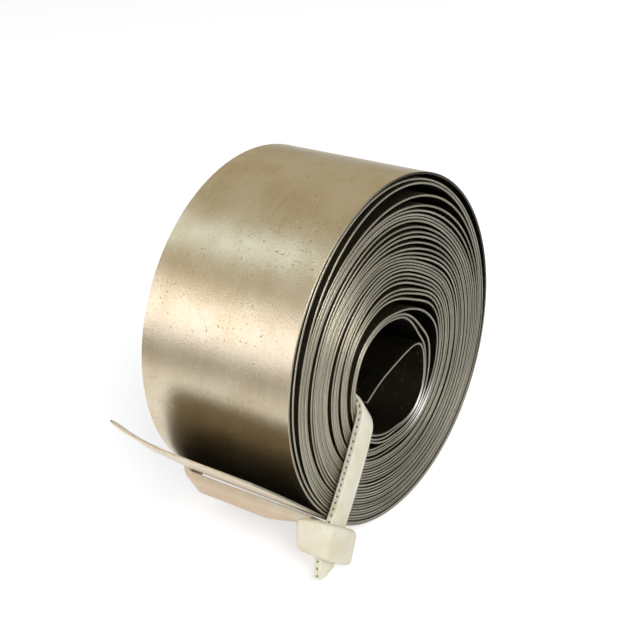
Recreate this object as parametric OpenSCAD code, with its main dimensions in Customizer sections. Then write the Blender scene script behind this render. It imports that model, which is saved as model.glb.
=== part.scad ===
// Coil of bright steel strip held by one nylon cable tie.
// The coil lies on its rim. Its axis runs along Y and passes through the origin.
// The end face with the tie's head is at -Y, and the strip's outer end points to -X.
// All sizes are in millimetres.

/* [Coil] */
// Outer diameter of the coil
outer_d = 55; // [45:0.5:80]
// Diameter of the bore inside the innermost full turn
bore_d = 23; // [18:0.2:32]
// Width of the strip, which is the width of the coil
strip_w = 27; // [15:0.5:40]
// Thickness of the strip
strip_t = 0.35; // [0.3:0.05:0.8]
// Smallest clear gap between two turns
turn_gap = 0.06; // [0.05:0.01:0.3]
// Share of the width that stays joined in the middle, behind the open turns
joined_share = 0.26; // [0.15:0.01:0.5]

/* [Slack turns] */
// Opening of the four outermost gaps at their widest
outer_slack = [1.2, 1.3, 2.1, 1.3];
// Direction in which each of those gaps opens, in degrees from +X toward +Z
outer_slack_dir = [36, 132, 80, 60];
// Mean opening of each gap of the tight pack at its widest
pack_slack = 0.09; // [0:0.01:0.2]
// Mean direction in which the pack opens
pack_slack_dir = 94; // [0:1:180]
// Opening between the pack and the innermost full turn
inner_slack = 2.5; // [0.5:0.1:4]
// Direction in which the innermost full turn hangs free
inner_slack_dir = 112; // [0:1:180]
// How far the two loose turns inside the bore stand off its right side
loose_turn_step = [2.2, 3.9];
// Direction in which the loose turns stand off
loose_turn_dir = 2; // [-30:1:30]

/* [Strip ends] */
// Length of the outer end that stands free of the coil
tail_len = 23; // [8:0.5:40]
// Bend radius left in the free outer end
tail_bend_r = 900; // [60:10:1200]
// Angle between the tie's strap and the place where the outer end leaves the rim
tail_lead = 12; // [10:0.5:40]
// Bend radius of the hairpin at the inner end, to the middle of the strip
leader_bend_r = 2.2; // [1.5:0.1:4]
// Direction in which the inner end runs back across the bore
leader_dir = 196; // [185:1:215]
// Clear distance between the inner end and the tie's strap
leader_gap = 0.8; // [0.4:0.1:4]

/* [Cable tie] */
// Width of the strap
strap_w = 4.2; // [3.6:0.1:7]
// Thickness of the strap
strap_t = 1.3; // [1:0.05:1.8]
// Clear distance between the strap and the coil
strap_clear = 0.15; // [0.1:0.01:0.3]
// Angle of the strap from straight down, toward -X
tie_lean = 34; // [15:0.1:60]
// How close the strap sits to the side of the bore, as a share of its radius
tie_share = 0.84; // [0.6:0.01:0.97]
// Width of the head across the strap
head_w = 8; // [7:0.1:10]
// Height of the head along its slot
head_h = 6.2; // [4.5:0.1:8]
// Depth of the head along the coil's axis
head_l = 6.5; // [5.5:0.1:9]
// Wall of the head in front of the strap
head_wall = 1.4; // [1:0.1:2]
// Length of the cut end below the head
stub_len = 2.2; // [0.5:0.1:5]
// Slant of the cut across that end
stub_slant = 15; // [0:1:30]
// Distance from one rack tooth to the next
tooth_pitch = 1; // [0.8:0.05:1.6]
// Depth of the rack teeth
tooth_depth = 0.35; // [0.2:0.05:0.5]
// Share of the strap's width that the rack takes
tooth_share = 0.62; // [0.4:0.02:0.8]

/* [Hidden] */

$fn = 96;
// Overlap where two bodies of one piece run into each other
lap = 0.1;

outer_r = outer_d / 2;
bore_r = bore_d / 2;
half_w = strip_w / 2;
groove = strip_w * (1 - joined_share) / 2;

// A direction in the XZ plane
function aim(a) = [cos(a), sin(a)];
function total(v, n) = n <= 0 ? 0 : v[n - 1] + total(v, n - 1);

// Number of turns that fit between the rim and the bore
outer_gaps = len(outer_slack);
outer_half = total(outer_slack, outer_gaps) / 2;
room = outer_r - bore_r - outer_half - inner_slack / 2;
turns = floor((room + turn_gap) / (strip_t + turn_gap + pack_slack / 2));
last_gap = turns - 2;
pack_half = [for (k = [0:last_gap]) pack_slack / 2 * (1 + 0.9 * sin(137 * k))];

// Half of the extra opening of gap k, and the direction in which it opens
function half_open(k) = k < outer_gaps ? outer_slack[k] / 2
    : k == last_gap ? inner_slack / 2
    : pack_half[k];
function open_dir(k) = k < outer_gaps ? outer_slack_dir[k]
    : k == last_gap ? inner_slack_dir
    : pack_slack_dir + 25 * sin(70 * k);

opened = [for (k = [0:last_gap]) half_open(k)];
// The gap that is left all round once every turn has its place
even_gap = (outer_r - bore_r - turns * strip_t - total(opened, turns - 1)) / (turns - 1);

// Outer radius and middle of turn k, counted from the rim inward
function turn_r(k) = outer_r - k * (strip_t + even_gap) - total(opened, k);
function turn_mid(k) = k == 0 ? [0, 0]
    : turn_mid(k - 1) - half_open(k - 1) * aim(open_dir(k - 1));

bore_mid = turn_mid(turns - 1);

// Tie: strap_dir runs outward along the strap, side_dir across it
strap_angle = -90 - tie_lean;
strap_dir = aim(strap_angle);
side_dir = aim(strap_angle + 90);
bore_side = bore_mid * side_dir;
bore_out = bore_mid * strap_dir;
strap_edge = bore_side - tie_share * bore_r;
strap_side = strap_edge + strap_w / 2;
near_edge = max(0, strap_side - head_w / 2, -strap_side - head_w / 2);
rim_out = sqrt(outer_r * outer_r - near_edge * near_edge) + strap_clear;
wall_out = bore_out + bore_r * sqrt(1 - tie_share * tie_share) - 4 * strap_clear;
face_y = half_w + strap_clear;
corner_r = 3 * strap_clear;
head_front = -face_y - strap_t - head_wall;
head_back = head_front + head_l;
head_end = rim_out + head_h;
slot_clear = 0.3;
pawl_t = 0.9;
teeth = floor((rim_out - wall_out - corner_r) / tooth_pitch);

// Outer end: the rim angle where it leaves, and the arc's middle
tail_angle = strap_angle - tail_lead;
tail_mid = (outer_r - tail_bend_r) * aim(tail_angle);
tail_sweep = tail_len / tail_bend_r * 180 / PI;
tail_lap = 1 / tail_bend_r * 180 / PI;

// Inner end: it leaves the innermost loose turn through a hairpin
loose_mid = bore_mid - loose_turn_step[1] * aim(loose_turn_dir);
hairpin_out = bore_r - strip_t / 2 - leader_bend_r;
hairpin_mid = loose_mid + hairpin_out * aim(loose_turn_dir + 9);
leader_root = hairpin_mid + leader_bend_r * aim(leader_dir - 90);
leader_room = wall_out - strap_t - leader_gap - leader_root * strap_dir;
leader_len = leader_room / (aim(leader_dir) * strap_dir);

// A round post along Y, with its middle at p in the XZ plane
module post(p, r, y0, y1) {
    translate([p[0], y0, p[1]])
        rotate([-90, 0, 0])
            cylinder(r = r, h = y1 - y0);
}

// A flat outline in the XZ plane, drawn out along the strip's width
module across() {
    translate([0, half_w, 0])
        rotate([90, 0, 0])
            linear_extrude(height = strip_w)
                children();
}

// The clear gap inside turn k, from y0 to y1
module turn_gap_cut(k, y0, y1) {
    difference() {
        post(turn_mid(k), turn_r(k) - strip_t, y0, y1);
        post(turn_mid(k + 1), turn_r(k + 1), y0 - 1, y1 + 1);
    }
}

module wound_pack() {
    difference() {
        post([0, 0], outer_r, -half_w, half_w);
        post(bore_mid, bore_r, -half_w - 1, half_w + 1);
        for (k = [0:last_gap]) {
            turn_gap_cut(k, -half_w - 1, -half_w + groove);
            turn_gap_cut(k, half_w - groove, half_w + 1);
        }
    }
}

// A loose turn that stands off the right side of the bore
module loose_turn(step) {
    mid = bore_mid - step * aim(loose_turn_dir);
    across()
        intersection() {
            translate(bore_mid)
                circle(r = bore_r + lap);
            translate(mid)
                difference() {
                    circle(r = bore_r);
                    circle(r = bore_r - strip_t);
                }
        }
}

// A sector from angle a0 to angle a1, reaching out to r, below half a turn
module sector(a0, a1, r) {
    m = (a0 + a1) / 2;
    polygon([[0, 0], 2 * r * aim(a0), 2 * r * aim(m), 2 * r * aim(a1)]);
}

// The outer end, an arc that leaves the rim along its tangent
module outer_end() {
    across()
        translate(tail_mid)
            intersection() {
                difference() {
                    circle(r = tail_bend_r);
                    circle(r = tail_bend_r - strip_t);
                }
                sector(tail_angle - tail_sweep, tail_angle + tail_lap, tail_bend_r);
            }
}

// The inner end: hairpin, then a straight run back across the bore
module inner_end() {
    across() {
        translate(hairpin_mid)
            intersection() {
                difference() {
                    circle(r = leader_bend_r + strip_t / 2);
                    circle(r = leader_bend_r - strip_t / 2);
                }
                sector(loose_turn_dir - 10, leader_dir - 90, leader_bend_r);
            }
        translate(hairpin_mid)
            rotate(leader_dir)
                translate([-lap / 2, -leader_bend_r - strip_t / 2])
                    square([leader_len, strip_t]);
    }
}

module strip_coil() {
    color([0.70, 0.67, 0.58])
        union() {
            wound_pack();
            for (step = loose_turn_step)
                loose_turn(step);
            outer_end();
            inner_end();
        }
}

// A rectangle with round corners, from p to q
module round_rect(p, q, r) {
    translate([p[0] + r, p[1]])
        square([q[0] - p[0] - 2 * r, q[1] - p[1]]);
    translate([p[0], p[1] + r])
        square([q[0] - p[0], q[1] - p[1] - 2 * r]);
    for (x = [p[0] + r, q[0] - r])
        for (y = [p[1] + r, q[1] - r])
            translate([x, y])
                circle(r = r);
}

// Side view of the strap: Y to the right, outward along the strap upward
module strap_outline() {
    difference() {
        round_rect([-face_y - strap_t, wall_out - strap_t], [face_y + strap_t, rim_out + strap_t],
            corner_r + strap_t);
        round_rect([-face_y, wall_out], [face_y, rim_out], corner_r);
        translate([-face_y - 2 * strap_t, rim_out - 3 * corner_r])
            square([head_back + face_y + 2 * strap_t, 3 * corner_r + 2 * strap_t]);
        rack_cuts();
    }
    difference() {
        translate([-face_y - strap_t, rim_out - 3 * corner_r - lap])
            square([strap_t, head_h + stub_len + 3 * corner_r + lap]);
        rack_cuts();
    }
}

// Rack teeth on the side of the strap that faces the coil
module rack_cuts() {
    for (i = [0:teeth - 1])
        translate([-face_y, rim_out - (i + 0.5) * tooth_pitch])
            polygon([[lap, -0.45 * tooth_pitch], [lap, 0.3 * tooth_pitch],
                [-tooth_depth, 0.2 * tooth_pitch], [0, -0.35 * tooth_pitch]]);
}

// The plain margins of the strap on both sides of the rack
module strap_margin(side) {
    margin = strap_w * (1 - tooth_share) / 2;
    translate([-face_y - strap_t, wall_out + corner_r, side * (strap_w - margin) / 2 - margin / 2])
        cube([strap_t, rim_out - wall_out - corner_r, margin]);
}

// The head with its slot and the pawl that grips the rack
module tie_head() {
    slot_back = -face_y + pawl_t;
    difference() {
        translate([head_front, rim_out, 0])
            rotate([-90, 0, 0])
                linear_extrude(height = head_h)
                    round_rect([0, -head_w / 2], [head_l, head_w / 2], 0.7);
        translate([-face_y - strap_t - slot_clear, rim_out - 1, -strap_w / 2 - slot_clear])
            cube([slot_back + face_y + strap_t + slot_clear, head_h + 2, strap_w + 2 * slot_clear]);
    }
    translate([0, rim_out, 0])
        linear_extrude(height = strap_w * tooth_share, center = true)
            polygon([[slot_back + lap, 0.28 * head_h], [-face_y - lap, 0.62 * head_h],
                [-face_y - lap, 0.8 * head_h], [slot_back + lap, 0.62 * head_h]]);
}

// The oblique cut at the end of the stub
module stub_cut() {
    translate([-face_y - 2 * strap_t, head_end + stub_len, strap_w / 2])
        rotate([-stub_slant, 0, 0])
            translate([0, 0, -2 * strap_w])
                cube([3 * strap_t, strap_w, 4 * strap_w]);
}

module cable_tie() {
    color([0.89, 0.86, 0.76])
        rotate([0, 90 - strap_angle, 0])
            multmatrix([[0, 0, 1, 0], [1, 0, 0, 0], [0, 1, 0, 0], [0, 0, 0, 1]])
                translate([0, 0, -strap_side])
                    difference() {
                        union() {
                            linear_extrude(height = strap_w, center = true)
                                strap_outline();
                            strap_margin(-1);
                            strap_margin(1);
                            tie_head();
                        }
                        stub_cut();
                    }
}

strip_coil();
cable_tie();
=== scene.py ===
"""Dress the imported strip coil: one wound steel strip, its nylon tie and a plain studio.

Lengths in the settings are metres. The coil's axis runs along Y through the origin, the end
face with the tie's head is at -Y and the strip's free outer end points to -X.
"""
import math

import bpy
import numpy as np
from mathutils import Matrix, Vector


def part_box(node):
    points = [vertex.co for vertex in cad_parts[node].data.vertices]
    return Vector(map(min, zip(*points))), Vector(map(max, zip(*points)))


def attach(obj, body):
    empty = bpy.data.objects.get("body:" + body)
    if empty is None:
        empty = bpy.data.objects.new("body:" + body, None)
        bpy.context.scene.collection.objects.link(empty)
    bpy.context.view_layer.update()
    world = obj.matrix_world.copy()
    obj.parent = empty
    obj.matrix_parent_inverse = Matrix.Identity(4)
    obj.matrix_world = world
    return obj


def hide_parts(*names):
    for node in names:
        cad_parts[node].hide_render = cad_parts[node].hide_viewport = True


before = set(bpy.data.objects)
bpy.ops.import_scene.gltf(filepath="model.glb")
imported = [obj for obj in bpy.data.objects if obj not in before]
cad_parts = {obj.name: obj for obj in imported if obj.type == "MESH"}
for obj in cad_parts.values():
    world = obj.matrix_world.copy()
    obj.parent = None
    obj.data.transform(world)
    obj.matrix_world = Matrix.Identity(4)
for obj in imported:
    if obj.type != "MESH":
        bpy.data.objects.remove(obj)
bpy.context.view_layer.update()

bl_info = {
    "name": "Strip Coil",
    "version": (1, 0, 0),
    "blender": (4, 5, 0),
    "location": "View3D > Sidebar > Strip Coil",
    "description": "Winds a steel strip into a loose coil and ties it with a nylon cable tie",
    "category": "Object",
}

MM = 0.001
COIL_LOW, COIL_HIGH = (np.array(corner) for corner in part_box("strip_coil"))
RIM_RADIUS = float(COIL_HIGH[2])
STRIP_WIDTH = float(COIL_HIGH[1] - COIL_LOW[1])

# The turns are drawn as polar curves about this point of the XZ plane.
WINDING_MIDDLE = np.array([0.0, -4.4 * MM])
STEPS_PER_TURN = 130
# Directions about the winding's middle, in degrees from +X toward +Z.
SEAM_ANGLE = -143.38

# Where the turns stand apart: the gap's number from the rim inward, where it is widest, where
# it closes on the right and on the left (degrees), and how far it opens (mm).
OPEN_GAPS = [
    (1, 168, 100, 222, 0.70), (1, 38, -28, 102, 1.00),
    (2, 132, 68, 204, 1.40), (2, 178, 130, 222, 0.25),
    (3, 95, 32, 158, 1.95),
    (4, 66, 12, 112, 1.20),
    (5, 53, 13, 92, 0.60),
    (6, 47, 8, 86, 0.45),
    (8, 145, 68, 202, 0.55), (8, 180, 130, 225, 0.35),
    (9, 90, 38, 166, 0.60), (9, 166, 112, 226, 0.36),
    (10, 95, 34, 153, 0.50), (10, 204, 184, 226, 0.20),
    (11, 80, 31, 118, 0.25), (11, 204, 184, 226, 0.18),
    (12, 77, 26, 117, 0.50),
    (13, 75, 21, 109, 0.50), (13, -112, -150, -78, 0.15),
    (14, 67, 25, 99, 0.35), (14, -112, -150, -75, 0.15),
    (15, 62, 24, 92, 0.25), (15, -112, -150, -75, 0.15),
    (16, 50, -5, 80, 0.40),
    (17, 130, 73, 182, 0.50), (17, -32, -120, 14, 0.40),
    (18, 165, 90, 218, 0.95), (18, -92, -150, -40, 0.18),
    (19, 145, 73, 195, 0.35),
    (20, 86, 28, 140, 0.25),
    (21, 84, 26, 138, 0.22),
    (22, 82, 24, 136, 0.25), (22, 172, 112, 220, 0.85),
    (23, 98, 34, 158, 0.75), (23, -110, -160, -62, 0.45),
    (24, 90, 30, 138, 0.25),
    (25, 56, -10, 112, 0.50),
    (27, 26, -60, 82, 2.20),
    (28, 22, -58, 84, 0.65), (28, -105, -165, -60, 0.50),
]
GAP_COUNT = 28
# How far the gaps and the loose turn are smoothed around the circle, in degrees.
GAP_BLUR = 15.0
LOOSE_BLUR = 8.0
# Where the whole pack is looser or tighter: direction, spread (degrees), change of each gap (mm).
SLACK = [(-22, 45, 0.07), (18, 34, 0.08), (165, 48, -0.085)]
# Shares of a turn: the outermost turn lies on the next one between the first two, and each turn
# crosses over to the next within the third.
CLOSED_FROM, CLOSED_TO, CROSS_SHARE = 0.3, 0.86, 0.22
# The first loose turn stands away from the pack: its number, and its radius (mm) by direction.
LOOSE_TURN = 27
LOOSE_RADIUS = [(-133, 10.75), (-96, 9.85), (-69, 10.85), (-47, 11.6), (-26, 11.85), (-3, 12.0),
                (17, 11.95), (39, 11.2), (64, 10.6), (88, 10.75), (115, 12.0), (135, 12.75),
                (156, 12.65), (174, 12.55), (200, 11.9)]
# The last turn ends in this direction and passes into the leader.
LEADER_ANGLE = -38.0
# The leader, the inner end: up the right of the bore, round a hairpin and across to the strap (mm).
LEADER = [(7.45, -7.2), (7.5, -3.6), (6.6, -1.5), (4.1, -0.95), (-1.74, -2.05), (-5.1, -2.9),
          (-8.6, -4.55)]

# The tie lies along the coil's axis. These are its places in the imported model: the way it
# faces, its offset sideways, where its head starts and where it lies in the bore.
STRAP_ANGLE = -124.0
STRAP_SIDE = -5.108 * MM
RIM_OUT = 27.628 * MM
WALL_OUT = 9.293 * MM
STRAP_CLEAR = 0.15 * MM

# Edges that bend more than this are shaded sharp.
SHARP_ANGLE = math.radians(35.0)

# The soft lights: name, place, target, size, power and colour.
LIGHTS = [
    ("key", (-0.133, 0.311, 0.40), (0, 0, 0.01), (0.09, 0.16), 0.125, (0.60, 0.78, 0.98)),
    ("wall", (-0.176, 0.119, 0.064), (0, 0, 0.01), (0.15, 0.10), 0.096, (0.80, 0.80, 0.90)),
    ("front", (-0.30, -0.55, 0.50), (0, 0, 0), (0.4, 0.4), 3.6, (1.0, 1.0, 1.0)),
]
FLOOR_REACH = 8.0
# The brown card stands on the floor at the left and shows only in the metal: its middle, its way,
# half its length and its height.
CARD_MIDDLE = (-0.131, 0.089)
CARD_WAY = (0.560, 0.828)
CARD_HALF = 0.10
CARD_HEIGHT = 0.036
# The camera's place, to the right, up and back, in rim radii.
CAMERA_PLACE = (-0.0285, 0.064, 7.5)


def smooth(x):
    """Smoothstep: 0 below 0, 1 above 1, 3x^2 - 2x^3 between."""
    x = np.clip(x, 0.0, 1.0)
    return x * x * (3.0 - 2.0 * x)


def aim(degrees):
    """Unit vector in the XZ plane at an angle from +X toward +Z."""
    a = np.radians(degrees)
    return np.stack([np.cos(a), np.sin(a)], axis=-1)


def run_lengths(path):
    """Distance travelled at each point of a path: the running sum of its steps."""
    return np.concatenate([[0.0], np.cumsum(np.linalg.norm(np.diff(path, axis=0), axis=1))])


def tangents(path):
    """Unit tangents of a path, from central differences."""
    slopes = np.gradient(path, axis=0)
    return slopes / np.linalg.norm(slopes, axis=1)[:, None]


class StripSettings(bpy.types.PropertyGroup):
    """Sizes and colours of the wound strip."""

    thickness: bpy.props.FloatProperty(
        name="Thickness", description="Thickness of the strip",
        default=0.35 * MM, min=0.1 * MM, max=1.0 * MM, unit="LENGTH", precision=5)
    width: bpy.props.FloatProperty(
        name="Width", description="Width of the strip",
        default=STRIP_WIDTH, min=0.005, max=0.1, unit="LENGTH", precision=5)
    rim_radius: bpy.props.FloatProperty(
        name="Rim radius", description="Radius of the coil's outermost turn",
        default=RIM_RADIUS, min=0.01, max=0.2, unit="LENGTH", precision=5)
    tight_gap: bpy.props.FloatProperty(
        name="Tight gap", description="Clear distance between turns where the pack is tightest",
        default=0.10 * MM, min=0.0, max=1.0 * MM, unit="LENGTH", precision=6)
    tail_length: bpy.props.FloatProperty(
        name="Outer end", description="Length of the outer end that stands free of the rim",
        default=22.8 * MM, min=0.0, max=0.1, unit="LENGTH", precision=5)
    tail_radius: bpy.props.FloatProperty(
        name="Outer bend", description="Bend radius left in the free outer end",
        default=480.0 * MM, min=0.02, max=2.0, unit="LENGTH", precision=4)
    tail_curl: bpy.props.FloatProperty(
        name="Corner curl", description="How far the back corner of the outer end curls up",
        default=1.5 * MM, min=0.0, max=0.01, unit="LENGTH", precision=5)
    steel: bpy.props.FloatVectorProperty(
        name="Steel", description="Colour of the rolled face",
        subtype="COLOR", size=3, min=0.0, max=1.0, default=(0.64, 0.565, 0.43))
    edge: bpy.props.FloatVectorProperty(
        name="Slit edge", description="Colour of the slit edges",
        subtype="COLOR", size=3, min=0.0, max=1.0, default=(0.48, 0.455, 0.37))


class TieSettings(bpy.types.PropertyGroup):
    """Sizes and colours of the cable tie."""

    strap_width: bpy.props.FloatProperty(
        name="Strap width", description="Width of the strap",
        default=4.2 * MM, min=0.001, max=0.02, unit="LENGTH", precision=5)
    strap_thickness: bpy.props.FloatProperty(
        name="Strap thickness", description="Thickness of the strap",
        default=1.3 * MM, min=0.0005, max=0.005, unit="LENGTH", precision=5)
    tooth_pitch: bpy.props.FloatProperty(
        name="Tooth pitch", description="Distance from one rack tooth to the next",
        default=1.0 * MM, min=0.0003, max=0.005, unit="LENGTH", precision=5)
    tooth_depth: bpy.props.FloatProperty(
        name="Tooth depth", description="Depth of the rack",
        default=0.35 * MM, min=0.0, max=0.001, unit="LENGTH", precision=6)
    head_width: bpy.props.FloatProperty(
        name="Head width", description="Width of the head across the strap",
        default=8.8 * MM, min=0.002, max=0.03, unit="LENGTH", precision=5)
    head_depth: bpy.props.FloatProperty(
        name="Head depth", description="Depth of the head along the coil's axis",
        default=7.0 * MM, min=0.002, max=0.03, unit="LENGTH", precision=5)
    head_height: bpy.props.FloatProperty(
        name="Head height", description="Height of the head along its slot",
        default=5.4 * MM, min=0.002, max=0.03, unit="LENGTH", precision=5)
    stub: bpy.props.FloatProperty(
        name="Cut end", description="Longest reach of the cut end below the head",
        default=3.1 * MM, min=0.0, max=0.03, unit="LENGTH", precision=5)
    nylon: bpy.props.FloatVectorProperty(
        name="Nylon", description="Colour of the nylon",
        subtype="COLOR", size=3, min=0.0, max=1.0, default=(0.90, 0.87, 0.75))


class StageSettings(bpy.types.PropertyGroup):
    """The floor, the lights and the camera."""

    floor: bpy.props.FloatVectorProperty(
        name="Floor", description="Colour of the floor",
        subtype="COLOR", size=3, min=0.0, max=1.0, default=(0.93, 0.93, 0.92))
    azimuth: bpy.props.FloatProperty(
        name="Azimuth", description="Camera's turn about the vertical",
        default=math.radians(-54.2), subtype="ANGLE")
    elevation: bpy.props.FloatProperty(
        name="Elevation", description="Camera's height above the coil's axis",
        default=math.radians(22.6), subtype="ANGLE")
    roll: bpy.props.FloatProperty(
        name="Roll", description="How far the photographed coil is rolled about its axis",
        default=math.radians(5.9), subtype="ANGLE")
    lens: bpy.props.FloatProperty(
        name="Focal length", description="Focal length of the camera",
        default=73.8 * MM, min=0.01, max=0.5, unit="LENGTH", precision=4)


def lens_gap(angles, widest, right, left, opening):
    """A gap that opens smoothly: opening * (1 - u^2)^2, u = -1 at its right end, 1 at its left."""
    u = np.where(angles > widest, (angles - widest) / (left - widest),
                 (angles - widest) / (widest - right))
    return opening * MM * np.clip(1.0 - u * u, 0.0, None) ** 2


def open_gaps(angles):
    """How far each gap stands open at the given angles: the sum of its lenses, row by row."""
    table = np.zeros((GAP_COUNT, len(angles)))
    for number, *lens in OPEN_GAPS:
        table[number - 1] += lens_gap(angles, *lens) + lens_gap(angles - 360.0, *lens)
    return round_blur(table, GAP_BLUR)


def bell(angles, middle, spread):
    """A bell around the circle: exp(-(d / spread)^2), d being the way to the middle in degrees."""
    return np.exp(-(((angles - middle + 180.0) % 360.0 - 180.0) / spread) ** 2)


def round_blur(rows, spread):
    """Smooth rows that go once round the circle: each is folded with a bell of that spread."""
    weights = bell(np.arange(rows.shape[-1]) * 360.0 / rows.shape[-1], 0.0, spread)
    return np.real(np.fft.ifft(np.fft.fft(rows) * np.fft.fft(weights / weights.sum())))


def winding(s):
    """Middle line of the strip from the tail's tip to the leader's tip, in the XZ plane.

    Every turn k is a closed polar curve rho_k about the winding's middle. The rim is a circle,
    and rho_k+1 = rho_k - thickness - gap_k. The loose turn has a radius of its own, smoothed
    around the circle, and the turns inside it follow it. The strip follows rho_k and crosses
    over to rho_k+1 just after the seam, so it is one spiral. The tail leaves the rim on a wide
    arc, and the leader is a polyline whose corners are cut at a quarter, four times over.
    """
    along = np.arange(STEPS_PER_TURN) / STEPS_PER_TURN
    angles = SEAM_ANGLE + 360.0 * along
    out = aim(angles)
    offset = out @ WINDING_MIDDLE
    middle_radius = s.rim_radius - s.thickness / 2
    rim = np.sqrt(offset ** 2 - WINDING_MIDDLE @ WINDING_MIDDLE + middle_radius ** 2) - offset
    slack = s.tight_gap + MM * sum(change * bell(angles, middle, spread)
                                   for middle, spread, change in SLACK)
    apart = 1.0 - smooth(along / CLOSED_FROM) + smooth((along - CLOSED_TO) / (1.0 - CLOSED_TO))
    step_in = (s.thickness + slack) * apart
    gaps = np.vstack([step_in, s.thickness + slack + open_gaps(angles), s.thickness + slack])
    rho = np.vstack([rim, rim - np.cumsum(gaps, axis=0)])
    loose = np.interp(angles, *np.array(LOOSE_RADIUS).T, period=360.0) * MM
    loose = np.minimum(loose, rho[LOOSE_TURN - 1] - s.thickness - slack)
    rho[LOOSE_TURN:] += round_blur(loose, LOOSE_BLUR) - rho[LOOSE_TURN]
    cross = smooth(along / CROSS_SHARE)
    radius = rho[:-1] * (1.0 - cross) + rho[1:] * cross
    spiral = WINDING_MIDDLE + radius[..., None] * out
    last = int(np.searchsorted(angles, LEADER_ANGLE))
    turns = np.vstack([spiral[:-1].reshape(-1, 2), spiral[-1, :last]])

    root = turns[0]
    outward = math.degrees(math.atan2(root[1], root[0]))
    tail_count = 46
    step = s.tail_length / tail_count
    bend = np.degrees(step / s.tail_radius) * np.arange(1, tail_count + 1)
    tail = root + np.cumsum(step * aim(outward - 90.0 + bend), axis=0)

    leader = np.vstack([turns[-1], np.array(LEADER) * MM])
    for _ in range(4):
        start, end = leader[:-1], leader[1:]
        corners = np.stack([0.75 * start + 0.25 * end, 0.25 * start + 0.75 * end], axis=1)
        leader = np.vstack([leader[:1], corners.reshape(-1, 2), leader[-1:]])
    return np.vstack([tail[::-1], turns, leader[1:]]), tail_count


def grid_faces(rows, columns, closed_rows=False):
    """Quads of a rows x columns grid, row by row; the columns close, and the rows may."""
    r = np.arange(rows if closed_rows else rows - 1)
    r, c = np.meshgrid(r, np.arange(columns), indexing="ij")
    r2, c2 = (r + 1) % rows, (c + 1) % columns
    corners = [r * columns + c, r * columns + c2, r2 * columns + c2, r2 * columns + c]
    return np.stack(corners, axis=-1).reshape(-1, 4)


def end_caps(rows, columns):
    """The two rings of points that close a tube of rows x columns points."""
    return [range(columns)[::-1], range((rows - 1) * columns, rows * columns)]


def make_mesh(name, shells):
    """A mesh object at the origin from closed shells of points, quads and flat end caps.

    Each shell's faces are turned so that the enclosed volume, the sum of corner products over
    the triangles, is positive, which makes them point outward.
    """
    points, faces, rings = [], [], []
    for shell_points, quads, caps in shells:
        a, b, c, d = (shell_points[quads[:, i]] for i in range(4))
        volume = np.sum(a * np.cross(b, c)) + np.sum(a * np.cross(c, d))
        order = 1 if volume > 0 else -1
        start = len(points)
        faces += (start + quads[:, ::order]).tolist()
        rings += [[start + i for i in ring[::order]] for ring in caps]
        points += shell_points.tolist()
    mesh = bpy.data.meshes.new(name)
    mesh.from_pydata(points, [], faces + rings)
    mesh.polygons.foreach_set("use_smooth", np.ones(len(mesh.polygons), dtype=bool))
    mesh.set_sharp_from_angle(angle=SHARP_ANGLE)
    mesh.update()
    return link_object(name, mesh)


def link_object(name, data):
    """An object with the given data, linked to the scene."""
    made = bpy.data.objects.new(name, data)
    bpy.context.scene.collection.objects.link(made)
    return made


def set_point_values(piece, name, values):
    """Store one number per point as a mesh attribute."""
    layer = piece.data.attributes.new(name, "FLOAT", "POINT")
    layer.data.foreach_set("value", np.asarray(values, dtype=np.float32).ravel())


def set_map(piece, name, coordinates):
    """Store a UV map given per point."""
    corners = np.empty(len(piece.data.loops), dtype=np.int32)
    piece.data.loops.foreach_get("vertex_index", corners)
    layer = piece.data.uv_layers.new(name=name)
    layer.data.foreach_set("uv", coordinates[corners].astype(np.float32).ravel())


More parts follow.
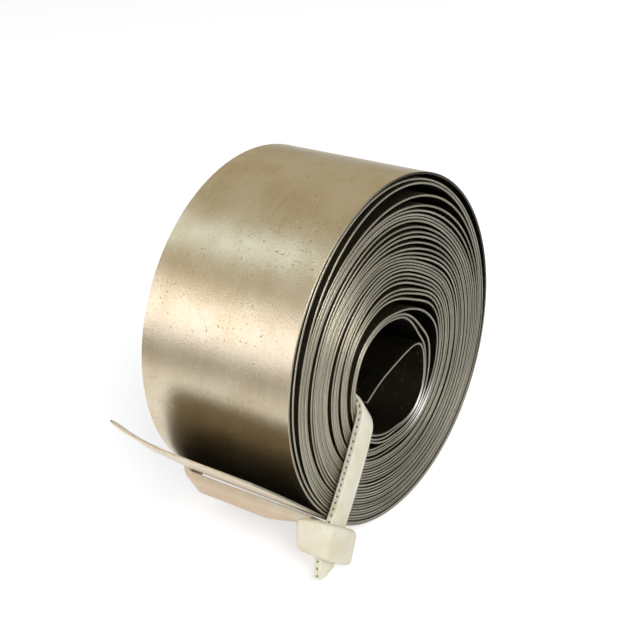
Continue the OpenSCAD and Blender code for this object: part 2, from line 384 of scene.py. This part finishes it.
def wind_strip(s):
    """The strip: a thin rectangle with eased corners carried along the winding.

    Point (i, j) = path_i + across_j * normal_i + width_j * Y. The back corner of the tail is
    lifted by curl * end^1.5 * side^6, where end and side run from 0 to 1 toward that corner.
    Both edges wander sideways by less than 0.1 mm, as two sine waves along the strip.
    """
    path, tail_count = winding(s)
    tangent = tangents(path)
    normal = np.stack([tangent[:, 1], -tangent[:, 0]], axis=1)
    travelled = run_lengths(path)

    half, ease, side = s.thickness / 2, 0.07 * MM, s.width / 2
    span = (side - ease) * np.array([-1.0, -0.3, 0.3, 0.6, 0.78, 0.9, 1.0])
    flat = np.full(len(span), half)
    brim = np.array([half - ease, ease - half])
    across = np.concatenate([flat, brim, -flat, -brim])
    wide = np.concatenate([span, [side, side], span[::-1], [-side, -side]])
    is_edge = np.concatenate([0.0 * flat, [1, 1], 0.0 * flat, [1, 1]])

    wave_length = 110.0 * MM
    turn = travelled / wave_length
    wander = MM * (0.05 * np.sin(2.3 * turn + 0.4) + 0.04 * np.sin(5.1 * turn + 1.7))
    reach = np.clip(1.0 - np.arange(len(path)) / tail_count, 0.0, 1.0)
    curl_from = 0.35
    lift = s.tail_curl * smooth((reach - curl_from) / (1.0 - curl_from)) ** 1.5
    up = across[None, :] - lift[:, None] * np.clip(wide / s.width + 0.5, 0, 1)[None, :] ** 6

    points = np.empty((len(path), len(across), 3))
    points[..., 0] = path[:, None, 0] + up * normal[:, None, 0]
    points[..., 2] = path[:, None, 1] + up * normal[:, None, 1]
    points[..., 1] = wide[None, :] + wander[:, None] * (1.0 - reach[:, None])
    rows, columns = len(path), len(across)
    shell = (points.reshape(-1, 3), grid_faces(rows, columns), end_caps(rows, columns))
    piece = make_mesh("strip", [shell])
    set_point_values(piece, "edge", np.tile(is_edge, rows))

    # Painted shade on the inner face: it is darkened where the turns and the bore shade it. The
    # painted shade thins out toward the tail's tip and a little on the loose turns, and the leader
    # has it on both faces.
    row = np.arange(rows)[:, None]
    fade_rows, leader_rows = 20.0, 90
    turn_share = np.where(row < tail_count + LOOSE_TURN * STEPS_PER_TURN, 1.0, 0.85)
    tail_share = 0.45 + 0.43 * smooth(row / (0.7 * tail_count))
    tail_share = tail_share + 0.12 * smooth((row - 0.9 * tail_count) / fade_rows)
    inner_shade = np.where(across < 0, turn_share, 0.0) * tail_share
    inner_shade = np.maximum(inner_shade, smooth((row - rows + leader_rows) / fade_rows))
    set_point_values(piece, "inside", inner_shade)

    # Painted glint: the edges of the last turns are coloured bright at the lower right of the bore.
    glint_turns, glint_angle, glint_spread = 4.0, -54.0, 15.0
    facing = np.degrees(np.arctan2(path[:, 1] - WINDING_MIDDLE[1], path[:, 0] - WINDING_MIDDLE[0]))
    painted_glint = smooth((row[:, 0] - tail_count) / STEPS_PER_TURN - LOOSE_TURN + glint_turns)
    painted_glint = painted_glint * bell(facing, glint_angle, glint_spread)
    set_point_values(piece, "painted_glint", np.repeat(painted_glint, columns))
    unrolled = np.stack([np.repeat(travelled, columns), np.tile(wide, rows)], axis=1)
    set_map(piece, "unrolled", unrolled)
    return piece


def tie_space(local, slope=0.19, sink=0.42 * MM, shear=0.0):
    """Carry points (axial, outward, side) of the tie's plane into the model's frame.

    At the rim the tie settles onto the strip: outward += slope * side - sink. Below the rim it
    leans sideways: side += shear * (outward - rim). In the bore it tilts with the wall:
    outward += 0.5 * side + 0.5 mm. In front it bows a little: side += 0.09 d (1 - d / 17 mm),
    where d is the distance from the rim. Along the rim it drifts by 1.2 mm sideways and twists:
    outward += 0.35 * (side + 2.1 mm) + 0.18 * drift. Each change fades in along the strap.
    """
    axial, far, side = local[..., 0:1], local[..., 1:2], local[..., 2:3]
    front = 17 * MM
    bow = 0.09
    drift_size, drift_share = 1.2 * MM, 0.18
    bore_tilt, bore_shift = 0.5, 0.5 * MM
    rim_twist, twist_arm = 0.35, 2.1 * MM
    past_head = axial + 9 * MM
    settle = (slope * side - sink) * smooth((far - 16 * MM) / (10 * MM))
    tilt = (bore_tilt * side + bore_shift) * smooth((front - far) / (7 * MM))
    drop = np.clip(RIM_OUT - far, 0.0, front)
    lean = bow * drop * (1.0 - drop / front) * smooth((12 * MM - axial) / (20 * MM))
    drift = drift_size * smooth(past_head / (22 * MM)) * smooth((far - 11 * MM) / (14 * MM))
    twist = rim_twist * smooth(past_head / (9 * MM)) * smooth((far - 22 * MM) / (5 * MM))
    lean = lean + drift + shear * np.clip(far - RIM_OUT, 0.0, None)
    settle = settle + drift_share * drift + (side + twist_arm) * twist
    xz = (far + settle + tilt) * aim(STRAP_ANGLE)
    xz = xz + (side + lean + STRAP_SIDE) * aim(STRAP_ANGLE + 90.0)
    return np.stack([xz[..., 0], local[..., 0], xz[..., 1]], axis=-1)


def strap_route(t):
    """Middle line of the strap (axial, outward): from the cut end up the front, through the
    bore, down the back and along the rim to the head. Corners are quarter circles."""
    half = t.strap_thickness / 2
    face = STRIP_WIDTH / 2 + STRAP_CLEAR + half
    inside, outside = WALL_OUT - half, RIM_OUT + half
    bends = np.array([2.6, 2.6, 1.6]) * MM
    into_head = 3.2 * MM
    end = RIM_OUT + t.head_height + t.stub
    turn = np.linspace(0.0, 90.0, 19)
    middles = [(-face + bends[0], inside + bends[0]), (face - bends[1], inside + bends[1]),
               (face - bends[2], outside - bends[2])]
    starts = (180.0, 270.0, 0.0)
    stretches = [np.array([[-face, end]])]
    stretches += [np.array(middle) + bend * aim(start + turn)
                  for middle, bend, start in zip(middles, bends, starts)]
    stretches.append(np.array([[-face + into_head, outside]]))
    corners = np.vstack(stretches)
    length = run_lengths(corners)
    place = np.union1d(np.arange(0.0, length[-1], t.tooth_pitch / 10), length)
    return np.stack([np.interp(place, length, corners[:, i]) for i in range(2)], axis=1), place


def make_strap(t):
    """The strap: a flat section with round edges carried along its route.

    The face toward the coil carries the rack between two plain margins. It sinks by
    depth * saw(place), where saw rises and falls once along each tooth. The left edge has a
    dimple beside each tooth, and the cut end narrows to a torn tip.
    """
    route, place = strap_route(t)
    tangent = tangents(route)
    inward = np.stack([-tangent[:, 1], tangent[:, 0]], axis=1)
    half_w, half_t, ease = t.strap_width / 2, t.strap_thickness / 2, 0.30 * MM
    rack, rack_end, rack_wall = 0.31 * t.strap_width, 56.0 * MM, 0.06 * MM
    dimple_depth, tip_length, tip_slip = 0.4 * MM, 2.6 * MM, 1.29 * MM
    corner = aim(np.linspace(0.0, 90.0, 5)) * ease
    right_top = np.array([half_w - ease, half_t - ease]) + corner
    recess = np.array([[rack + rack_wall, half_t], [rack, half_t], [-rack, half_t],
                       [-rack - rack_wall, half_t]])
    left_top = np.array([ease - half_w, half_t - ease]) + corner[::-1] * [-1, 1]
    dimple = np.array([[-half_w, 0.32 * MM], [-half_w, 0.05 * MM], [-half_w, -0.22 * MM]])
    left_low = np.array([ease - half_w, ease - half_t]) - corner
    right_low = np.array([half_w - ease, ease - half_t]) + corner[::-1] * [1, -1]
    section = np.vstack([right_top, recess, left_top, dimple, left_low, right_low])
    in_rack = np.zeros(len(section))
    in_rack[len(right_top) + 1:len(right_top) + 3] = 1.0
    in_dimple = np.zeros(len(section))
    in_dimple[len(right_top) + len(recess) + len(left_top) + 1] = 1.0

    tooth = (place / t.tooth_pitch) % 1.0
    saw = np.clip(np.minimum(tooth / 0.18, (1.0 - tooth) / 0.62), 0.0, 1.0)
    toothed = smooth((rack_end - place) / (1.0 * MM))
    notch = np.clip(1.0 - np.abs(tooth - 0.5) / 0.30, 0.0, 1.0) * toothed
    notch = notch[:, None] * in_dimple[None, :]
    height = section[None, :, 1] - in_rack[None, :] * (t.tooth_depth * saw * toothed)[:, None]
    slant = np.clip(1.0 - place / (3.0 * MM), 0.0, 1.0)
    slip = slant[:, None] * (section[None, :, 0] / t.strap_width + 0.5) * tip_slip
    points = np.empty((len(route), len(section), 3))
    points[..., 0] = route[:, None, 0] + height * inward[:, None, 0] + slip * tangent[:, None, 0]
    points[..., 1] = route[:, None, 1] + height * inward[:, None, 1] + slip * tangent[:, None, 1]
    tip = 0.45 + 0.55 * smooth(place / tip_length)
    points[..., 2] = section[None, :, 0] * tip[:, None] + dimple_depth * notch
    rows, columns = len(route), len(section)
    shell = (tie_space(points).reshape(-1, 3), grid_faces(rows, columns), end_caps(rows, columns))
    return shell, notch.ravel()


def round_frame(width, depth, radius, count):
    """Points of a rounded rectangle: four quarter circles of a given radius, one per corner."""
    quarter = np.linspace(0.0, 90.0, count)
    signs = [(1, 1), (-1, 1), (-1, -1), (1, -1)]
    walk = []
    for turn, (sx, sy) in enumerate(signs):
        middle = np.array([sx * (width / 2 - radius), sy * (depth / 2 - radius)])
        walk.append(middle + radius * aim(quarter + 90.0 * turn))
    return np.vstack(walk)


def make_head(t):
    """The head: a closed wall carried around its slot.

    Point (i, j) = (1 - a_j) * slot_i + a_j * outside_i at height h_j, where slot and outside
    are rounded rectangles, and (a, h) walks up the outside, over the top, down the slot and
    back under the foot, with eased corners. Heights run outward from the rim. The back tapers
    by 0.24 h, and its foot slopes away from the rim by 1 mm.
    """
    slot_depth, slot_room, front_wall, lip = 2.5 * MM, 0.3 * MM, 1.4 * MM, 0.35 * MM
    outer_round, slot_round, corner_steps = 1.4 * MM, 0.25 * MM, 7
    outside = round_frame(t.head_depth, t.head_width, outer_round, corner_steps)
    slot = round_frame(slot_depth, t.strap_width + 2 * slot_room, slot_round, corner_steps)
    strap_front = -STRIP_WIDTH / 2 - STRAP_CLEAR - t.strap_thickness
    middle = strap_front - front_wall + t.head_depth / 2
    outside[:, 0] += middle
    slot[:, 0] += strap_front - slot_room + slot_depth / 2
    ease, taper, back_slope = 0.8 * MM, 0.24, 1.0 * MM
    rise = np.array([0.0, 0.134, 0.5, 1.0])
    inset = np.array([1.0, 0.5, 0.134, 0.0])
    up = np.concatenate([rise * ease, t.head_height - rise[::-1] * ease])
    out = 1.0 - 0.45 * np.concatenate([inset, inset[::-1]])
    heights = np.concatenate([up, [t.head_height, t.head_height - lip, lip, 0.0]])
    shares = np.concatenate([out, [0.12, 0.0, 0.0, 0.12]])
    points = np.empty((len(outside), len(heights), 3))
    wall = (1.0 - shares)[:, None] * slot[:, None, :] + shares[:, None] * outside[:, None, :]
    points[..., 0] = wall[..., 0]
    points[..., 1] = RIM_OUT + heights
    points[..., 2] = wall[..., 1]
    faces = grid_faces(len(outside), len(heights), closed_rows=True)
    back = np.clip(points[..., 0] - middle, 0.0, None) / (t.head_depth / 2)
    points[..., 0] -= taper * heights * back
    points[..., 1] += back_slope * back * (1.0 - heights / t.head_height)
    return tie_space(points, slope=0.10, sink=0.5 * MM, shear=0.15).reshape(-1, 3), faces, []


class Wire:
    """A shader socket. Arithmetic on it adds Math nodes, and node() adds any other node.

    An input is given by its name, with _ for a space, or as i and its number.
    """

    def __init__(self, tree, socket):
        self.tree = tree
        self.socket = socket

    @classmethod
    def node(cls, tree, kind, settings=None, output=0, **inputs):
        """Add a node: its settings first, then the values or links of its sockets."""
        made = tree.nodes.new(kind)
        for key, value in (settings or {}).items():
            setattr(made, key, value)
        for key, value in inputs.items():
            by_number = key[0] == "i" and key[1:].isdigit()
            socket = made.inputs[int(key[1:]) if by_number else key.replace("_", " ")]
            if isinstance(value, Wire):
                tree.links.new(value.socket, socket)
            else:
                socket.default_value = value
        return cls(tree, made.outputs[output])

    def maths(self, operation, *values):
        """Add a Math node."""
        return Wire.node(self.tree, "ShaderNodeMath", {"operation": operation},
                         **{f"i{n}": value for n, value in enumerate(values)})

    def __add__(self, other):
        return self.maths("ADD", self, other)

    def __sub__(self, other):
        return self.maths("SUBTRACT", self, other)

    def __rsub__(self, other):
        return self.maths("SUBTRACT", other, self)

    def __mul__(self, other):
        return self.maths("MULTIPLY", self, other)

    __radd__ = __add__
    __rmul__ = __mul__

    def step(self, low, high):
        """0 below low, 1 above high, smooth between."""
        return Wire.node(self.tree, "ShaderNodeMapRange", {"interpolation_type": "SMOOTHSTEP"},
                         Value=self, From_Min=low, From_Max=high)


def mix_colour(tree, amount, first, second):
    """Mix two colours, each a wire or three numbers."""
    first, second = (end if isinstance(end, Wire) else (*end, 1.0) for end in (first, second))
    return Wire.node(tree, "ShaderNodeMix", {"data_type": "RGBA"}, 2,
                     i0=amount, i6=first, i7=second)


def tinted(colour, shares):
    """A colour with each channel scaled by its share, at most 1."""
    return tuple(min(1.0, channel * share) for channel, share in zip(colour, shares))


def point_values(tree, name):
    """The numbers stored per point under a name."""
    return Wire.node(tree, "ShaderNodeAttribute", {"attribute_name": name}, output=2)


def part_of(tree, vector, axis):
    """One of the three parts of a vector: 0, 1 or 2."""
    return Wire.node(tree, "ShaderNodeSeparateXYZ", output=axis, Vector=vector)


def noise(tree, vector, scale, detail, roughness, stretch=None):
    """Noise from 0 to 1; stretch scales the three directions first."""
    if stretch:
        vector = Wire.node(tree, "ShaderNodeMapping", Vector=vector, Scale=stretch)
    return Wire.node(tree, "ShaderNodeTexNoise", Vector=vector, Scale=scale, Detail=detail,
                     Roughness=roughness)


def new_material(name):
    """An empty node material with its output and Principled shader."""
    material = bpy.data.materials.new(name)
    material.use_nodes = True
    tree = material.node_tree
    tree.nodes.clear()
    output = tree.nodes.new("ShaderNodeOutputMaterial")
    shader = tree.nodes.new("ShaderNodeBsdfPrincipled")
    tree.links.new(shader.outputs[0], output.inputs["Surface"])
    return material, tree, shader


def feed(tree, shader, **links):
    """Link wires to the shader's sockets."""
    for key, wire in links.items():
        tree.links.new(wire.socket, shader.inputs[key.replace("_", " ")])


def steel_material(s):
    """Bright rolled strip: lengthwise streaks, grain, pits and scuffs, and an inner face darkened
    by painted shade between the turns. The slit edges differ from turn to turn. That of the
    outermost turn carries a painted shadow along part of its length, and those at the lower right
    of the bore carry a painted glint."""
    material, tree, shader = new_material("rolled_strip_steel")
    unrolled = Wire.node(tree, "ShaderNodeUVMap", {"uv_map": "unrolled"})
    place = Wire.node(tree, "ShaderNodeTexCoord", output=3)
    edge = point_values(tree, "edge")
    inside = point_values(tree, "inside")
    painted_glint = point_values(tree, "painted_glint")

    streaks = noise(tree, unrolled, 1.0, 3.0, 0.6, (40.0, 5200.0, 1.0))
    grain = noise(tree, place, 3600.0, 2.0, 0.6)
    cloud = noise(tree, place, 160.0, 3.0, 0.55)
    patches = noise(tree, unrolled, 1.0, 2.0, 0.5, (120.0, 170.0, 1.0))
    pits = 1.0 - noise(tree, place, 2100.0, 2.0, 0.6).step(0.28, 0.36)
    pits = pits * (0.25 + 0.75 * noise(tree, place, 110.0, 2.0, 0.5).step(0.42, 0.60))
    specks = 1.0 - noise(tree, place, 5200.0, 1.0, 0.5).step(0.24, 0.31)
    nicks = noise(tree, unrolled, 1.0, 1.0, 0.5, (900.0, 3200.0, 1.0)).step(0.70, 0.75)
    scratches = noise(tree, unrolled, 1.0, 1.0, 0.5, (260.0, 9000.0, 1.0)).step(0.70, 0.78)
    turns = noise(tree, unrolled, 1.0, 4.0, 0.7, (26.0, 1.0, 1.0))
    burr = noise(tree, unrolled, 1.0, 2.0, 0.7, (1500.0, 900.0, 1.0))

    tan = tinted(s.steel, (0.88, 0.84, 0.74))
    pale = tinted(s.steel, (1.16, 1.17, 1.22))
    # The first colour is the painted shade of the inner face; pits and specks are marks of the
    # steel.
    inner_shade_colour, pit, speck = (0.055, 0.055, 0.045), (0.10, 0.085, 0.05), (0.16, 0.14, 0.09)
    nick, scratch = (0.86, 0.84, 0.78), (0.80, 0.78, 0.70)
    colour = mix_colour(tree, cloud.step(0.35, 0.7), s.steel, tan)
    colour = mix_colour(tree, streaks.step(0.45, 0.75) * 0.4, colour, pale)
    # Painted shade: the inner face is darkened nearly to black where the turns and the bore shade
    # it.
    colour = mix_colour(tree, inside * 0.85, colour, inner_shade_colour)
    colour = mix_colour(tree, pits * 0.6, colour, pit)
    colour = mix_colour(tree, specks * 0.45, colour, speck)
    colour = mix_colour(tree, nicks * 0.6, colour, nick)
    colour = mix_colour(tree, scratches * 0.35, colour, scratch)

    dull = tinted(s.edge, (0.3, 0.3, 0.3))
    # Colours of the painted shadow on the outermost turn's edge and of the painted glint on the
    # edges in the bore.
    edge_shadow_colour, glint_colour = (0.02, 0.02, 0.015), (0.98, 0.97, 0.92)
    # Painted shadow: the slit edge of the outermost turn is darkened nearly to black from 78 to 142
    # mm along the strip.
    travelled = part_of(tree, unrolled, 0)
    edge_shadow_starts = travelled.step(78.0 * MM, 92.0 * MM)
    edge_shadow_ends = travelled.step(128.0 * MM, 142.0 * MM)
    edge_shadow = edge_shadow_starts * (1.0 - edge_shadow_ends)
    rim = mix_colour(tree, turns.step(0.32, 0.66) * 0.6 + burr * 0.4, dull, s.edge)
    rim = mix_colour(tree, edge_shadow * 0.85, rim, edge_shadow_colour)
    # Painted glint: the edges of the last turns at the lower right of the bore are coloured almost
    # white.
    rim = mix_colour(tree, painted_glint, rim, glint_colour)
    colour = mix_colour(tree, edge, colour, rim)
    rough = 0.19 + 0.08 * streaks + 0.10 * grain + 0.08 * patches + 0.12 * pits + 0.10 * specks
    rough = rough + edge * 0.28
    height = grain * 1.5 + streaks * 0.35 - pits * 0.8 - specks * 0.5
    height = height + nicks * 0.5 + scratches * 0.3
    bump = Wire.node(tree, "ShaderNodeBump", Strength=0.5, Distance=0.03 * MM, Height=height)
    shader.inputs["Metallic"].default_value = 1.0
    feed(tree, shader, Base_Color=colour, Roughness=rough, Normal=bump)
    return material


def nylon_material(t):
    """Natural nylon: cloudy and slightly translucent, with faint flow marks and specks, painted
    shade in the dimples and painted warm shade where the strap runs under the rim."""
    material, tree, shader = new_material("natural_nylon")
    place = Wire.node(tree, "ShaderNodeTexCoord", output=3)
    cloud = noise(tree, place, 260.0, 3.0, 0.6)
    flow = noise(tree, place, 1.0, 2.0, 0.5, (900.0, 260.0, 900.0))
    specks = noise(tree, place, 1700.0, 1.0, 0.5).step(0.72, 0.80)
    dimple_shade = point_values(tree, "dimple_shade")
    across = part_of(tree, place, 1)
    height = part_of(tree, place, 2)
    # Painted warm shade: the strap is tinted warmer and darker where it runs under the rim.
    under_rim_shade = across.step(-10.5 * MM, -7.5 * MM) * (1.0 - height.step(-21.0 * MM, -17.0 * MM))
    warm = tinted(t.nylon, (0.93, 0.89, 0.78))
    warm_shade = tinted(t.nylon, (0.90, 0.68, 0.53))
    speck, dimple_shade_colour = (0.42, 0.36, 0.25), (0.16, 0.14, 0.09)
    colour = mix_colour(tree, cloud.step(0.35, 0.7), t.nylon, warm)
    colour = mix_colour(tree, specks * 0.25, colour, speck)
    colour = mix_colour(tree, under_rim_shade * (0.5 + 0.5 * cloud), colour, warm_shade)
    # Painted shade in the dimples along the strap's left edge.
    colour = mix_colour(tree, dimple_shade.step(0.08, 0.6) * 0.85, colour, dimple_shade_colour)
    rough = 0.34 + 0.14 * flow + 0.08 * cloud
    bump = Wire.node(tree, "ShaderNodeBump", Strength=0.18, Distance=0.04 * MM,
                     Height=flow * 0.6 + cloud * 0.4)
    shader.inputs["IOR"].default_value = 1.53
    shader.inputs["Subsurface Weight"].default_value = 0.35
    shader.inputs["Subsurface Radius"].default_value = (1.0, 0.9, 0.65)
    shader.inputs["Subsurface Scale"].default_value = 1.2 * MM
    feed(tree, shader, Base_Color=colour, Roughness=rough, Normal=bump)
    return material


def floor_material(colour):
    """A matt pale floor. Seen directly, in metal or through the nylon it also glows a little,
    so that it reads as white and keeps the coil's shadow."""
    material, tree, shader = new_material("pale_floor")
    place = Wire.node(tree, "ShaderNodeTexCoord", output=3)
    cloud = noise(tree, place, 6.0, 2.0, 0.5)
    shade = tinted(colour, (0.985, 0.985, 0.985))
    seen, mirrored, passed = (Wire.node(tree, "ShaderNodeLightPath", output=ray)
                              for ray in ("Is Camera Ray", "Is Glossy Ray", "Is Transmission Ray"))
    dark, white_glow = (0.0, 0.0, 0.0), (0.42, 0.44, 0.50)
    feed(tree, shader, Base_Color=mix_colour(tree, cloud, colour, shade),
         Emission_Color=mix_colour(tree, seen + mirrored + passed, dark, white_glow))
    shader.inputs["Roughness"].default_value = 0.8
    shader.inputs["Specular IOR Level"].default_value = 0.0
    shader.inputs["Emission Strength"].default_value = 1.0
    return material


def card_material():
    """Matt brown card."""
    material, _, shader = new_material("brown_card")
    shader.inputs["Base Color"].default_value = (0.24, 0.19, 0.10, 1.0)
    shader.inputs["Roughness"].default_value = 0.9
    return material


class STRIPCOIL_OT_wind_strip(bpy.types.Operator):
    """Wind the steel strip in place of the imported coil"""

    bl_idname = "stripcoil.wind_strip"
    bl_label = "Wind strip"

    def execute(self, context):
        settings = context.scene.stripcoil_strip
        piece = wind_strip(settings)
        piece.data.materials.append(steel_material(settings))
        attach(piece, "root")
        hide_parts("strip_coil")
        return {"FINISHED"}


class STRIPCOIL_OT_make_tie(bpy.types.Operator):
    """Make the cable tie around the coil's wall"""

    bl_idname = "stripcoil.make_tie"
    bl_label = "Make tie"

    def execute(self, context):
        settings = context.scene.stripcoil_tie
        strap, notch = make_strap(settings)
        piece = make_mesh("tie", [strap, make_head(settings)])
        # The dimples at the strap's edge carry painted shade.
        dimple_shade = np.zeros(len(piece.data.vertices))
        dimple_shade[:len(notch)] = notch
        set_point_values(piece, "dimple_shade", dimple_shade)
        piece.data.materials.append(nylon_material(settings))
        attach(piece, "root")
        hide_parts("cable_tie")
        return {"FINISHED"}


def camera_axes(stage):
    """Right, up and back of the camera: turned and raised, then rolled about the coil's axis."""
    a, e, d = stage.azimuth, stage.elevation, stage.roll
    cos_d, sin_d = math.cos(d), math.sin(d)
    right = np.array([math.cos(a), math.sin(a), 0.0])
    back = np.array([math.sin(a) * math.cos(e), -math.cos(a) * math.cos(e), math.sin(e)])
    up = np.cross(back, right)
    roll = np.array([[cos_d, 0.0, sin_d], [0.0, 1.0, 0.0], [-sin_d, 0.0, cos_d]])
    return (roll @ np.stack([right, up, back], axis=1)).T


def pose(right, up, back, place):
    """World matrix whose columns are the three axes and the place."""
    matrix = np.eye(4)
    matrix[:3] = np.stack([right, up, back, place], axis=1)
    return Matrix(matrix.tolist())


def add_panel_light(name, location, target, size, power, colour):
    """A rectangular soft light at a place, facing a target."""
    data = bpy.data.lights.new(name, "AREA")
    data.shape = "RECTANGLE"
    data.size, data.size_y = size
    data.energy = power
    data.color = colour
    light = link_object(name, data)
    back = np.array(location, dtype=float) - np.array(target, dtype=float)
    back /= np.linalg.norm(back)
    right = np.cross((0.0, 0.0, 1.0), back)
    right /= np.linalg.norm(right)
    up = np.cross(back, right)
    light.matrix_world = pose(right, up, back, location)


def add_sheet(name, corners, material):
    """One flat face with four corners."""
    mesh = bpy.data.meshes.new(name)
    mesh.from_pydata(corners, [], [(0, 1, 2, 3)])
    mesh.materials.append(material)
    return link_object(name, mesh)


def set_world(scene):
    """The studio's walls: dark low down, grey overhead and a warm pale wall toward +Y."""
    world = bpy.data.worlds.new("studio")
    scene.world = world
    world.use_nodes = True
    tree = world.node_tree
    way = Wire.node(tree, "ShaderNodeTexCoord", output=0)
    height = part_of(tree, way, 2)
    behind = part_of(tree, way, 1)
    low, ceiling, wall = (0.05, 0.05, 0.04), (0.42, 0.42, 0.38), (0.61, 0.55, 0.42)
    sky = mix_colour(tree, height.step(0.36, 0.58), low, ceiling)
    sky = mix_colour(tree, behind.step(0.0, 0.35) * height.step(0.0, 0.14), sky, wall)
    tree.links.new(sky.socket, tree.nodes["Background"].inputs["Color"])
    tree.nodes["Background"].inputs["Strength"].default_value = 1.0


def set_camera(scene, stage):
    """The camera of the photograph."""
    data = bpy.data.cameras.new("camera")
    data.sensor_width = 36.0
    data.lens = stage.lens / MM
    data.clip_start = 0.01
    data.clip_end = 20.0
    camera = link_object("camera", data)
    axes = camera_axes(stage)
    camera.matrix_world = pose(*axes, RIM_RADIUS * (np.array(CAMERA_PLACE) @ axes))
    scene.camera = camera


class STRIPCOIL_OT_set_stage(bpy.types.Operator):
    """Set the floor, the card, the soft lights, the walls and the camera"""

    bl_idname = "stripcoil.set_stage"
    bl_label = "Set stage"

    def execute(self, context):
        stage = context.scene.stripcoil_stage
        scene = context.scene
        low = -RIM_RADIUS
        reach = FLOOR_REACH
        corners = [(-reach, -reach, low), (reach, -reach, low),
                   (reach, reach, low), (-reach, reach, low)]
        floor = add_sheet("floor", corners, floor_material(tuple(stage.floor)))

        for light in LIGHTS:
            add_panel_light(*light)

        foot = np.array([*CARD_MIDDLE, low])
        along = CARD_HALF * np.array([*CARD_WAY, 0.0])
        rise = np.array([0.0, 0.0, CARD_HEIGHT])
        corners = [foot - along, foot + along, foot + along + rise, foot - along + rise]
        card = add_sheet("card", corners, card_material())
        card.visible_camera = False
        card.visible_diffuse = False
        card.visible_shadow = False

        set_world(scene)
        set_camera(scene, stage)
        scene.view_settings.view_transform = "Standard"
        return {"FINISHED"}


class STRIPCOIL_PT_panel(bpy.types.Panel):
    """Settings and steps of the strip coil"""

    bl_idname = "STRIPCOIL_PT_panel"
    bl_label = "Strip Coil"
    bl_space_type = "VIEW_3D"
    bl_region_type = "UI"
    bl_category = "Strip Coil"

    def draw(self, context):
        groups = (("stripcoil_strip", "stripcoil.wind_strip"),
                  ("stripcoil_tie", "stripcoil.make_tie"),
                  ("stripcoil_stage", "stripcoil.set_stage"))
        for group, operator in groups:
            settings = getattr(context.scene, group)
            box = self.layout.box()
            for key in settings.__annotations__:
                box.prop(settings, key)
            box.operator(operator)


CLASSES = (StripSettings, TieSettings, StageSettings, STRIPCOIL_OT_wind_strip,
           STRIPCOIL_OT_make_tie, STRIPCOIL_OT_set_stage, STRIPCOIL_PT_panel)
GROUPS = {"stripcoil_strip": StripSettings, "stripcoil_tie": TieSettings,
          "stripcoil_stage": StageSettings}


def register():
    """Register the classes and hang the settings on the scene."""
    for item in CLASSES:
        bpy.utils.register_class(item)
    for name, group in GROUPS.items():
        setattr(bpy.types.Scene, name, bpy.props.PointerProperty(type=group))


def unregister():
    """Undo register."""
    for name in GROUPS:
        delattr(bpy.types.Scene, name)
    for item in reversed(CLASSES):
        bpy.utils.unregister_class(item)


def main():
    """Register the classes and make every piece in order."""
    register()
    bpy.ops.stripcoil.wind_strip()
    bpy.ops.stripcoil.make_tie()
    bpy.ops.stripcoil.set_stage()


if __name__ == "__main__":
    main()
